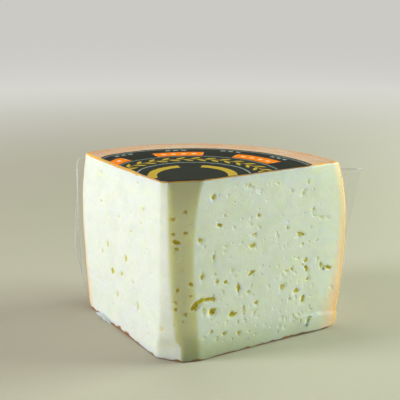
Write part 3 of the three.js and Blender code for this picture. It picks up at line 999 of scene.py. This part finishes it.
def goat_cheese():
    """Skin outside, paste inside. Light goes deep, and further where the nose band meets the lit faces."""
    material, node = new_material("goat_cheese_paste_and_oiled_rind")
    at = cheese_places(node)
    shallow = node("Math", at.top_depth, at.foot_depth, operation="MINIMUM")
    shallow = node("MapRange", node("Math", at.side_depth, shallow, operation="MINIMUM"), 0.5, 0.4)
    outside = node("Math", shallow, node("MapRange", at.cut_depth, 0.2, 0.4), operation="MULTIPLY")
    colour = node("Mix", outside, paste_colour(node, at), skin_colour(node, at), data_type="RGBA")
    grain = node("TexNoise", at.place, 1 / GRAIN_SIZE, 3.0)
    bump = node("Bump", named={"Height": grain, "Strength": 0.4, "Distance": 0.2 * MM})
    less_by_rind = node("MapRange", at.side_depth, 1.0, 10.0, 0.55, 1.0)
    depth = node("Math", node("MapRange", outside, 0.0, 1.0, 0.9, 0.3), less_by_rind, operation="MULTIPLY")
    on_band = node("MapRange", at.band_depth, 0.5, 0.05)
    by_corner = node("Math", on_band, node("MapRange", at.corner_depth, 2.0, 0.0), operation="MULTIPLY")
    reach = node("MapRange", by_corner, 0.0, 1.0, LIGHT_REACH, CORNER_LIGHT_REACH)
    shader = node("BsdfPrincipled", named={
        "Base Color": colour, "Roughness": 0.5, "IOR": 1.45, "Specular IOR Level": 0.4, "Normal": bump,
        "Subsurface Weight": depth, "Subsurface Radius": (1.0, 0.85, 0.28), "Subsurface Scale": reach})
    node("OutputMaterial", shader)
    return material


cheese.data.materials.clear()
cheese.data.materials.append(goat_cheese())
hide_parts("cheese_wedge")
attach(cheese, "root")
print("cheese dressed in", cheese.data.materials[0].name)

# %% [markdown]
# ## The label
# A round printed paper label was stuck on the wheel and cut with it. It follows the dished top, with faint
# cockles where the paper took up moisture, and a slightly ragged edge along the cuts. Satin paper shows its
# inks flat, with a soft sheen towards the lamps. The print is a ring pattern, worked out from the distance
# to the axis and the turn about it, so it needs no picture and stays sharp when seen close to.

# %% Label sheet
LABEL_LIFT = 0.12
LABEL_THICKNESS = 0.22
LABEL_RAGGED = 0.5
LABEL_COCKLES = [(0.05, 11, 22), (0.04, 4, 23)]
COCKLE_MEAN = 0.09
LABEL_ARC_SHARES = steps(140)
LABEL_CUT_SHARES = steps(90)
LABEL_RINGS = np.append(np.linspace(1, 0.9, 6), np.linspace(0.84, 0.06, 14))


def label_edge():
    """The label from above: nose, right cut, arc and left cut, drawn in unevenly along the cuts."""
    z = np.array([HEIGHT])
    left, crease, right = nose(z)
    right_corner = corner_at(1, z, LABEL_RADIUS)
    left_corner = corner_at(-1, z, LABEL_RADIUS)
    first, last = turn_of(right_corner), turn_of(left_corner)
    arc = LABEL_RADIUS * on_circle(first + (last - first) * LABEL_ARC_SHARES)
    cuts = np.concatenate([
        between(left, crease, STRIP_SHARES)[0], between(crease, right, BAND_SHARES)[0],
        between(right, right_corner, LABEL_CUT_SHARES)[0], between(left_corner, left, LABEL_CUT_SHARES)[0]])
    flat = np.column_stack([cuts, 0 * cuts[:, 0]])
    inset = LABEL_RAGGED * (1 + noise(flat, 5, 21)) / 2
    cuts = cuts + unit(MIDDLE - cuts) * inset[:, None]
    before_arc = NOSE_COLUMNS + len(LABEL_CUT_SHARES)
    return np.concatenate([cuts[:before_arc], arc, cuts[before_arc:]])


def label_sheet():
    """Rings drawn in from the edge: the underside from the middle outwards, then the top side back again."""
    rings = drawn_in(label_edge(), LABEL_RINGS)
    cockle = COCKLE_MEAN + relief(np.dstack([rings, 0 * rings[..., 0]]), LABEL_COCKLES)
    under = np.dstack([rings, top_level(rings) + LABEL_LIFT + cockle])
    over = under + [0, 0, LABEL_THICKNESS]
    stack = np.concatenate([under[::-1], over])[None]
    middle = np.array([[*MIDDLE, *(top_level(MIDDLE[None]) + LABEL_LIFT)]])
    return closed_mesh("round_label", stack, middle, middle + [0, 0, LABEL_THICKNESS])


label = label_sheet()
soften(label, 50)
print("label sheet:", len(label.data.polygons), "faces")

# %% Inks and rows of the print
INK_BLACK = linear("#2a2c29")
INK_GREY = linear("#3b3e3a")
INK_ORANGE = linear("#ff8410")
INK_GOLD = linear("#c8a63c")
INK_PALE = linear("#aab6b2")
PAPER_CREAM = linear("#ffd9ac")
# Each row: middle radius and half width in mm, marks round the wheel, phase, half of the share printed, ink.
PRINT_ROWS = [
    (50.8, 4.6, 7, 0.30, 0.30, INK_ORANGE),
    (50.8, 1.1, 56, 0.40, 0.22, PAPER_CREAM),
    (50.8, 4.8, 7, 0.80, 0.20, INK_BLACK),
    (60.3, 0.8, 84, 0.00, 0.30, INK_PALE),
    (60.3, 1.0, 12, 0.20, 0.28, INK_BLACK),
    (37.0, 0.3, 1, 0.00, 0.50, INK_GOLD),
    (20.0, 2.4, 3, 0.10, 0.36, INK_GOLD),
    (63.8, 0.28, 1, 0.00, 0.50, INK_PALE),
    (44.6, 0.25, 1, 0.00, 0.50, INK_PALE),
    (29.0, 0.35, 1, 0.00, 0.50, INK_PALE),
]
LEAVES = 30
LEAF_LENGTH = 3.4
LEAF_WIDTH = 1.1
# Each row of the garland: radius of the leaves' middles in mm, slant in radians, phase.
LEAF_ROWS = [(39.6, 0.6, 0.0), (34.4, -0.6, 0.5)]
print(len(PRINT_ROWS), "rows of print and", 2 * LEAVES, "leaves")

# %% Label material
# Paper fibre is finer than this. It is drawn coarser, so that it shows.
FIBRE_SIZE = 1.4


def printed_label():
    """Rows are rings broken by the turn; leaves are slanted lenses, width times (1 - (u/length)^2)."""
    material, node = new_material("printed_satin_paper_label")
    place, radius, turn, _ = wheel_place(node)
    fibre = node("TexNoise", place, 1 / FIBRE_SIZE, 3.0)
    colour = node("Mix", node("MapRange", fibre, 0.4, 0.75), INK_BLACK, INK_GREY, data_type="RGBA")
    for middle, half, count, phase, share, ink in PRINT_ROWS:
        ring = node("Math", radius, middle, half, operation="COMPARE")
        repeat = node("Math", turn, count / (2 * np.pi), phase, operation="MULTIPLY_ADD")
        mark = node("Math", node("Math", repeat, operation="FRACT"), 0.5, share, operation="COMPARE")
        colour = node("Mix", node("Math", ring, mark, operation="MULTIPLY"), colour, ink, data_type="RGBA")
    for middle, slant, phase in LEAF_ROWS:
        repeat = node("Math", turn, LEAVES / (2 * np.pi), phase, operation="MULTIPLY_ADD")
        pitch = 2 * np.pi * middle / LEAVES
        x = node("Math", node("Math", repeat, operation="FRACT"), pitch, -pitch / 2, operation="MULTIPLY_ADD")
        spot = node("CombineXYZ", x, node("Math", radius, middle, operation="SUBTRACT"))
        u, v, _ = node("SeparateXYZ", node("Mapping", spot, (0, 0, 0), (0, 0, slant))).node.outputs
        share = node("Math", u, 1 / LEAF_LENGTH, operation="MULTIPLY")
        square = node("Math", share, share, operation="MULTIPLY")
        width = node("Math", square, -LEAF_WIDTH, LEAF_WIDTH, operation="MULTIPLY_ADD")
        leaf = node("Math", node("Math", v, operation="ABSOLUTE"), width, operation="LESS_THAN")
        colour = node("Mix", leaf, colour, INK_GOLD, data_type="RGBA")
    bump = node("Bump", named={"Height": fibre, "Strength": 0.2, "Distance": 0.1 * MM})
    shader = node("BsdfPrincipled", named={
        "Base Color": colour, "Roughness": 0.5, "IOR": 1.45, "Specular IOR Level": 0.3, "Normal": bump})
    node("OutputMaterial", shader)
    return material


label.data.materials.append(printed_label())
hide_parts("top_label")
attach(label, "root")
print("label dressed in", label.data.materials[0].name)

# %% [markdown]
# ## The film
# Clear wrapping film still clings to the rind. It stands off in flat folds, reaches a few millimetres past
# the left cut, where it was torn back towards the foot, and its upper corner flares out at the right cut.
# Cloth simulation could fold it, but folds from a formula are the same in every run. The sheet is a grid by
# turn and height; each turn is a thin closed strip, and the strips make the stack.

# %% Edges of the film
FILM_FOOT = 6.0
FILM_TOP = 90.5
FILM_FLAP_HEIGHTS = [6, 18, 33, 41, 56, 71, 90]
FILM_FLAP_LEFT = [0.4, 1.3, 3.5, 4.1, 3.0, 1.4, 3.6]
FILM_RAGGED = 0.4
FILM_FLAP_RIGHT = 0.4
FILM_CORNER_FLAP = 2.0


def film_ends(z, corner):
    """Turns at which the film ends at the right and left: past each cut by its flap there."""
    right, left = (turn_of(corner_at(side, z, barrel_radius(z))) for side in (1, -1))
    flap = np.interp(z, FILM_FLAP_HEIGHTS, FILM_FLAP_LEFT) + FILM_RAGGED * line_noise(z, 6, 25)
    return right - (FILM_FLAP_RIGHT + FILM_CORNER_FLAP * corner) / RIM_RADIUS, left + flap / RIM_RADIUS


print("film reaches up to", max(FILM_FLAP_LEFT), "mm past the left cut")


# %% Folds of the film
FOLD_HEIGHT = 0.8
FINE_FOLD_SHARE = 0.6
FOLD_STRETCH = 0.35


def film_folds(turn, z):
    """Ridges of noise stretched upwards, (1 - |n|)^6, and finer ones across them, (1 - |n|)^8."""
    spot = np.stack([turn * RIM_RADIUS, z * FOLD_STRETCH, 0 * z], axis=-1)
    fine = (1 - np.abs(noise(spot, (6, 2, 6), 27))) ** 8
    return FOLD_HEIGHT * ((1 - np.abs(noise(spot, 9, 26))) ** 6 + FINE_FOLD_SHARE * fine)


# %% Film sheet
FILM_COLUMNS = 190
FILM_ROWS = 60
FILM_THICKNESS = 0.12
FILM_STAND_OFF = 1.1
CLINGING = 0.6
FILM_BRIM = 1.5
FILM_WIDTH = 170.0
FILM_CORNER = 4.0
FILM_FLARE = 10.0
FILM_LIFT_LEFT = 1.0
LOOSE_SHARES = (0.02, 0.3)
FLARE_SHARES = (0.04, 0)
LIFT_SHARES = (0.95, 1)


def film_grid():
    """Barrel radius plus stand-off and folds, with a flare at the right top; and the radial directions."""
    share = np.linspace(0, 1, FILM_COLUMNS)[:, None]
    level = np.linspace(0, 1, FILM_ROWS)[None]
    brim = FILM_BRIM * line_noise(share * FILM_WIDTH, 12, 24)
    z = FILM_FOOT + level * (FILM_TOP + brim - FILM_FOOT)
    corner = smooth(z, FILM_TOP - FILM_CORNER, FILM_TOP)
    right, left = film_ends(z, corner)
    turn = right + (left - right) * share
    loose = smooth(share, *LOOSE_SHARES)
    flare = FILM_FLARE * smooth(share, *FLARE_SHARES) * corner + FILM_LIFT_LEFT * smooth(share, *LIFT_SHARES)
    stand_off = FILM_STAND_OFF * (CLINGING + (1 - CLINGING) * loose)
    radius = barrel_radius(z) + stand_off + film_folds(turn, z) * loose + flare
    radius = radius + right_sag(radius * np.cos(turn), z)
    radial = np.dstack([on_circle(turn), 0 * turn])
    return np.dstack([radius[..., None] * radial[..., :2], z]), radial


def film_sheet(outer, radial):
    """The grid's strips, each closed by an inner side one thickness nearer the axis."""
    loops = np.concatenate([outer, (outer - FILM_THICKNESS * radial)[:, ::-1]], axis=1)[None]
    return closed_mesh("clear_film", loops, loops[:, 0].mean(axis=1), loops[:, -1].mean(axis=1))


film_points, film_radial = film_grid()
film = film_sheet(film_points, film_radial)
soften(film, 60)
print("film sheet:", len(film.data.polygons), "faces")

# %% [markdown]
# Where film tears, its edge curls into a thin roll, and where the piece was set down on loose film, the film
# is crumpled under the left corner. Both are tubes: a round section carried along the edge of the sheet or
# along the foot, with a thickness that varies.

# %% A tube along a path
TUBE_TURNS = 2 * np.pi * steps(12)
TUBE_LEAST = 0.02
UPWARDS = np.array([0.0, 0, 1])


def tube(name, path, across, radius):
    """A circle in the plane of two directions, carried along a path with a radius for each point."""
    first, second = (np.broadcast_to(way, path.shape)[:, None] for way in across)
    circle = first * np.cos(TUBE_TURNS)[None, :, None] + second * np.sin(TUBE_TURNS)[None, :, None]
    loops = (path[:, None] + circle * np.maximum(radius, TUBE_LEAST)[..., None])[None]
    return closed_mesh(name, loops, path[None, 0], path[None, -1])


# %% Rolled edges of the film
ROLL_RADIUS = 0.45
ROLL_UNEVEN = 0.6
ROLL_SHARES = (1.2, 0.5)
ROLL_THINS = (40, 60)
FLARE_COLUMNS = 12
FLARE_UNEVEN = 0.5


def rolled_edge(path, radial):
    """The roll follows the sheet's left edge; its radius varies by noise and dies out at both ends."""
    z = path[:, 2]
    dying = np.sin(np.pi * np.linspace(0, 1, len(z))) ** 0.5
    radius = ROLL_RADIUS * dying * (1 + ROLL_UNEVEN * line_noise(z, 3, 28))
    below, above = ROLL_SHARES
    radius = radius * (below + (above - below) * smooth(z, *ROLL_THINS))
    sideways = np.column_stack([outwards(radial), 0 * z])
    return tube("film_rolled_edge", path, (radial, sideways), radius[:, None])


def top_edge(path, radial):
    """A thinner roll along the sheet's upper edge, only where it flares out at the right."""
    radius = ROLL_RADIUS * np.linspace(1, 0, len(path)) * (1 + FLARE_UNEVEN * line_noise(path[:, 1], 2, 34))
    return tube("film_top_edge", path, (radial, UPWARDS), radius[:, None])


# %% Crumpled film under the left corner
CRUMPLE_SPAN = (53.0, 71.5)
CRUMPLE_STEPS = 60
CRUMPLE_RADIUS = 1.3
CRUMPLE_UNEVEN = 0.45
CRUMPLE_OUT = 0.9
CRUMPLE_LEAST = 0.05


def crumple():
    """The crumple follows the foot of the left cut; each point of its section has a noise of its own."""
    along = np.linspace(*CRUMPLE_SPAN, CRUMPLE_STEPS)
    start, run = cut_line(-1, 0 * along)
    outward = np.column_stack([-outwards(run), 0 * along])
    dying = np.sin(np.pi * np.linspace(0, 1, len(along)))[:, None] ** 0.4
    section = np.broadcast_to(2 * on_circle(TUBE_TURNS), (len(along), len(TUBE_TURNS), 2))
    spot = np.dstack([np.broadcast_to(along[:, None], section.shape[:2]), section])
    radius = CRUMPLE_RADIUS * (1 + CRUMPLE_UNEVEN * noise(spot, 1.6, 29)) * dying
    path = np.column_stack([start + run * along[:, None], 0 * along]) + CRUMPLE_OUT * outward
    path[:, 2] = np.maximum(radius.max(axis=1), CRUMPLE_LEAST)
    return tube("film_crumple", path, (outward, UPWARDS), radius)


flared = (rows[:FLARE_COLUMNS, -1] for rows in (film_points, film_radial))
gathered = [rolled_edge(film_points[-1], film_radial[-1]), top_edge(*flared), crumple()]
for piece, angle in zip(gathered, (70, 70, 35)):
    soften(piece, angle)
    print(piece.name, len(piece.data.polygons), "faces")

# %% Film material
FILM_CLEAR = linear("#eef3f3")
CREASE_SIZE = 4 * MM


def clear_film(name, face_on, glancing):
    """Clear polyethylene: see-through face on, and whiter and glossier at a glancing angle."""
    material, node = new_material(name)
    veil = node("MapRange", node("LayerWeight", 0.35, out="Facing"), 0.2, 1.0, face_on, glancing)
    crease = node("TexNoise", node("TexCoord", out="Object"), 1 / CREASE_SIZE, 4.0)
    bump = node("Bump", named={"Height": crease, "Strength": 0.5, "Distance": 0.4 * MM})
    shader = node("BsdfPrincipled", named={
        "Base Color": FILM_CLEAR, "Roughness": 0.15, "IOR": 1.5, "Specular IOR Level": 0.25,
        "Alpha": veil, "Normal": bump})
    node("OutputMaterial", shader)
    return material


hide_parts("wrap_film")
film.data.materials.append(clear_film("clear_polyethylene_film", 0.06, 0.45))
layers = clear_film("gathered_polyethylene_film", 0.45, 0.85)
for piece in gathered:
    piece.data.materials.append(layers)
for piece in (film, *gathered):
    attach(piece, "root")
    print(piece.name, "dressed in", piece.data.materials[0].name)

# %% [markdown]
# ## Floor, light and camera
# The stage is a plain, matt, pale floor. The key light stands to the viewer's left and a weaker one to the
# right, so the two cut faces are bright and the nose between them stays in shade. The camera looks from the
# place of the photograph's viewer.

# %% Viewer's directions
VIEW_TURN = np.radians(13.95)
VIEW_TILT = np.radians(15.05)
VIEW_DISTANCE = 389.4
VIEW_AIM = (3.71, 0.0, 82.02)
FOCAL_PIXELS = 780.0
FRAME_PIXELS = 400.0
SENSOR = 36.0


def from_viewer(x, y, z):
    """A point given to the viewer's right, away and up from the wheel's foot, in the frame's metres."""
    c, s = np.cos(VIEW_TURN), np.sin(VIEW_TURN)
    return Vector(((AXIS[0] + c * x - s * y) * MM, (AXIS[1] + s * x + c * y) * MM, z * MM))


def looking(start, target):
    """The placing of a camera or lamp that stands at the start and looks at the target."""
    return Matrix.Translation(start) @ (target - start).to_track_quat("-Z", "Y").to_matrix().to_4x4()


# %% Camera
camera = add_object("camera", bpy.data.cameras.new("camera"))
camera.data.sensor_width = SENSOR
camera.data.lens = FOCAL_PIXELS * SENSOR / FRAME_PIXELS
back = VIEW_DISTANCE * np.array([0, -np.cos(VIEW_TILT), np.sin(VIEW_TILT)])
aim = from_viewer(*VIEW_AIM)
eye = from_viewer(*(np.array(VIEW_AIM) + back))
camera.matrix_world = looking(eye, aim)
bpy.context.scene.camera = camera
print("camera at", [round(c, 3) for c in eye], "lens", round(camera.data.lens, 1), "mm")

# %% Floor
FLOOR_PALE = linear("#b9b19d")
FLOOR_HALF = 30.0


def floor():
    """A wide square at height 0, glowing a little far away, where the lamps no longer reach it."""
    corners = FLOOR_HALF * np.array([[-1, -1, 0], [1, -1, 0], [1, 1, 0], [-1, 1, 0]])
    mesh = bpy.data.meshes.new("floor")
    mesh.from_pydata(corners.tolist(), [], [(0, 1, 2, 3)])
    piece = add_object("floor", mesh)
    material, node = new_material("pale_floor")
    far = node("VectorMath", node("TexCoord", out="Object"), operation="LENGTH")
    glow = node("MapRange", far, 0.2, 1.2, 0.0, 0.55, interpolation_type="SMOOTHSTEP")
    shader = node("BsdfPrincipled", named={
        "Base Color": FLOOR_PALE, "Roughness": 0.7,
        "Emission Color": (1, 1, 1, 1), "Emission Strength": glow})
    node("OutputMaterial", shader)
    mesh.materials.append(material)
    piece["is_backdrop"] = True


floor()
print("floor", 2 * FLOOR_HALF, "m wide")


# %% Lights
def soft_light(name, place, target, size, power, colour):
    """A square area light at a viewer's place, turned to a target."""
    lamp = bpy.data.lights.new(name, "AREA")
    lamp.size = size
    lamp.energy = power
    lamp.color = linear(colour)[:3]
    add_object(name, lamp).matrix_world = looking(from_viewer(*place), from_viewer(*target))


# Name, place and target in the viewer's millimetres, size in metres, power in watts, colour.
LAMPS = [
    ("left_key", (-870, -150, 470), (0, 20, 45), 0.26, 8.7, "#f1f8ff"),
    ("right_fill", (800, 170, 380), (20, 20, 45), 0.5, 11.1, "#e9fff8"),
    ("overhead", (0, 250, 900), (0, 30, 90), 0.5, 2.0, "#ffffff"),
]
for lamp in LAMPS:
    soft_light(*lamp)
print("lights", [lamp[0] for lamp in LAMPS])

# %% Surroundings
ROOM_LIGHT = linear("#524c22")
ROOM_SEEN = linear("#d3dcdc")

world = bpy.data.worlds.new("studio")
world.use_nodes = True
world.node_tree.nodes.clear()
node = partial(add, world.node_tree)
room = node("Mix", node("LightPath", out="Is Camera Ray"), ROOM_LIGHT, ROOM_SEEN, data_type="RGBA")
node("OutputWorld", node("Background", room, 1.0))
bpy.context.scene.world = world
bpy.context.scene.view_settings.view_transform = "Standard"
print("surroundings", world.name, "shown as", bpy.context.scene.view_settings.view_transform)

# %% [markdown]
# ## Finish
# The box of the dressed piece is written beside the box of the solids, to show that it kept their size.

# %% Write the sizes and finish
dressed_low, dressed_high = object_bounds()
grown = (dressed_high - dressed_low) - (solid_high - solid_low)
print("grown by", [round(1000 * side, 1) for side in grown], "mm")
